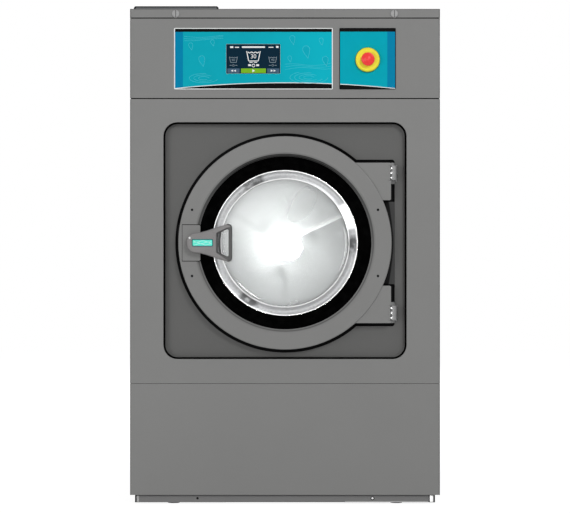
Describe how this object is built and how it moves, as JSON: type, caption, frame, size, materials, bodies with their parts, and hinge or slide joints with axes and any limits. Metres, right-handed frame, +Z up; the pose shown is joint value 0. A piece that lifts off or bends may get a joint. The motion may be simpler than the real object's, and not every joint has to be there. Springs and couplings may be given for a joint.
{
  "type": "front-loading industrial washing machine",
  "caption": "Floor-standing front-loading industrial washer: steel cabinet on a rigid frame, round glass door, belt-driven drum in a tub, screen, stop button and top detergent box.",
  "frame": {"origin": "on the floor, at the middle of the overall footprint", "axes": "+Z up, -Y towards the door and controls, +X to the right of a person who faces the door"},
  "size_m": [0.884, 1.1, 1.425],
  "materials": {
    "coated_steel": "fine-textured grey plastic coating on steel",
    "recess_steel": "the same coating, on the pressed surround",
    "frame_steel": "primed and painted channel steel",
    "zinc": "zinc-coated steel",
    "stainless": "brushed stainless steel",
    "polished": "polished stainless steel",
    "cast_grey": "cast iron, painted grey",
    "cast_alloy": "die-cast alloy, satin",
    "handle_alloy": "die-cast lever, grey coated",
    "seal_rubber": "black rubber",
    "belt_rubber": "black belt rubber",
    "hose_rubber": "light grey hose",
    "bowl_glass": "clear pressed glass",
    "black_plastic": "black moulded plastic",
    "grey_plastic": "grey moulded plastic",
    "teal_film": "teal printed film on steel",
    "screen_glass": "black glass of the touch screen",
    "yellow_plastic": "yellow moulded plastic",
    "red_plastic": "red moulded plastic",
    "motor_paint": "painted cast housing"
  },
  "bodies": {
    "cabinet": {"base_frame": "frame_steel", "floor_pads": "zinc", "left_side_panel": "coated_steel", "right_side_panel": "coated_steel", "front_panel": "coated_steel", "door_surround": "recess_steel", "lower_panel": "coated_steel", "control_fascia": "coated_steel", "display_plate": "teal_film", "touch_screen": "screen_glass", "stop_plate": "teal_film", "stop_collar": "yellow_plastic", "top_cover": "coated_steel", "soap_box": "black_plastic", "rear_panel": "coated_steel", "belt_cover": "coated_steel", "tub_shell": "stainless", "tub_front": "cast_grey", "tub_back": "stainless", "tub_cradles": "frame_steel", "hinge_brackets": "polished", "lock_housing": "black_plastic", "bearing_housing": "cast_grey", "shaft_bearings": "polished", "shaft_seal": "seal_rubber", "motor": "motor_paint", "motor_mount": "frame_steel", "drive_belts": "belt_rubber", "heating_elements": "stainless", "inlet_valves": "black_plastic", "fill_hoses": "hose_rubber", "drain_valve": "grey_plastic", "vent_pipe": "black_plastic", "inverter": "black_plastic", "control_unit": "grey_plastic", "mains_box": "grey_plastic"},
    "drum": {"drum_shell": "stainless", "drum_front": "stainless", "drum_back": "stainless", "drum_lifters": "stainless", "drum_spider": "cast_alloy", "drum_shaft": "stainless", "bearing_inner_races": "polished", "drum_pulley": "cast_grey"},
    "rotor": {"motor_rotor": "stainless", "motor_pulley": "cast_grey"},
    "door": {"door_ring": "coated_steel", "door_plate": "coated_steel", "door_seal": "seal_rubber", "door_glass": "bowl_glass", "latch_plate": "coated_steel", "door_hinges": "polished"},
    "handle": {"door_handle": "handle_alloy", "latch_cam": "zinc"},
    "stop_plunger": {"stop_stem": "black_plastic"},
    "stop_head": {"stop_button": "red_plastic"},
    "soap_cover": {"soap_lid": "black_plastic"},
    "left_catch": {"left_lock": "stainless"},
    "right_catch": {"right_lock": "stainless"},
    "isolator": {"isolator_knob": "red_plastic"}
  },
  "joints": [
    {"name": "door_swing", "type": "hinge", "parent": "cabinet", "child": "door", "pos_m": [0.31, -0.51, 0.744], "axis": [0, 0, 1], "range_deg": [0, 150]},
    {"name": "handle_turn", "type": "hinge", "parent": "door", "child": "handle", "pos_m": [-0.264, -0.528, 0.744], "axis": [0, 1, 0], "range_deg": [0, 90]},
    {"name": "drum_spin", "type": "hinge", "parent": "cabinet", "child": "drum", "pos_m": [0, 0.292, 0.744], "axis": [0, 1, 0], "continuous": true},
    {"name": "motor_spin", "type": "hinge", "parent": "cabinet", "child": "rotor", "pos_m": [0.25, 0.292, 0.23], "axis": [0, 1, 0], "continuous": true},
    {"name": "stop_press", "type": "slide", "parent": "cabinet", "child": "stop_plunger", "axis": [0, 1, 0], "range_m": [0, 0.004]},
    {"name": "stop_twist", "type": "hinge", "parent": "stop_plunger", "child": "stop_head", "pos_m": [0.2355, -0.532, 1.266], "axis": [0, 1, 0], "range_deg": [0, 30], "stiffness_Nm_per_rad": 0.02},
    {"name": "lid_lift", "type": "hinge", "parent": "cabinet", "child": "soap_cover", "pos_m": [-0.3125, -0.251, 1.42], "axis": [-1, 0, 0], "range_deg": [0, 100]},
    {"name": "left_lock_turn", "type": "hinge", "parent": "cabinet", "child": "left_catch", "pos_m": [-0.312, -0.508, 1.398], "axis": [0, 1, 0], "range_deg": [0, 90]},
    {"name": "right_lock_turn", "type": "hinge", "parent": "cabinet", "child": "right_catch", "pos_m": [0.312, -0.508, 1.398], "axis": [0, 1, 0], "range_deg": [0, 90]},
    {"name": "isolator_turn", "type": "hinge", "parent": "cabinet", "child": "isolator", "pos_m": [0.255, 0.496, 1.29], "axis": [0, 1, 0], "range_deg": [0, 90]}
  ],
  "couplings": [
    {"joint": "motor_spin", "follows": "drum_spin", "ratio": 5.2222}
  ]
}
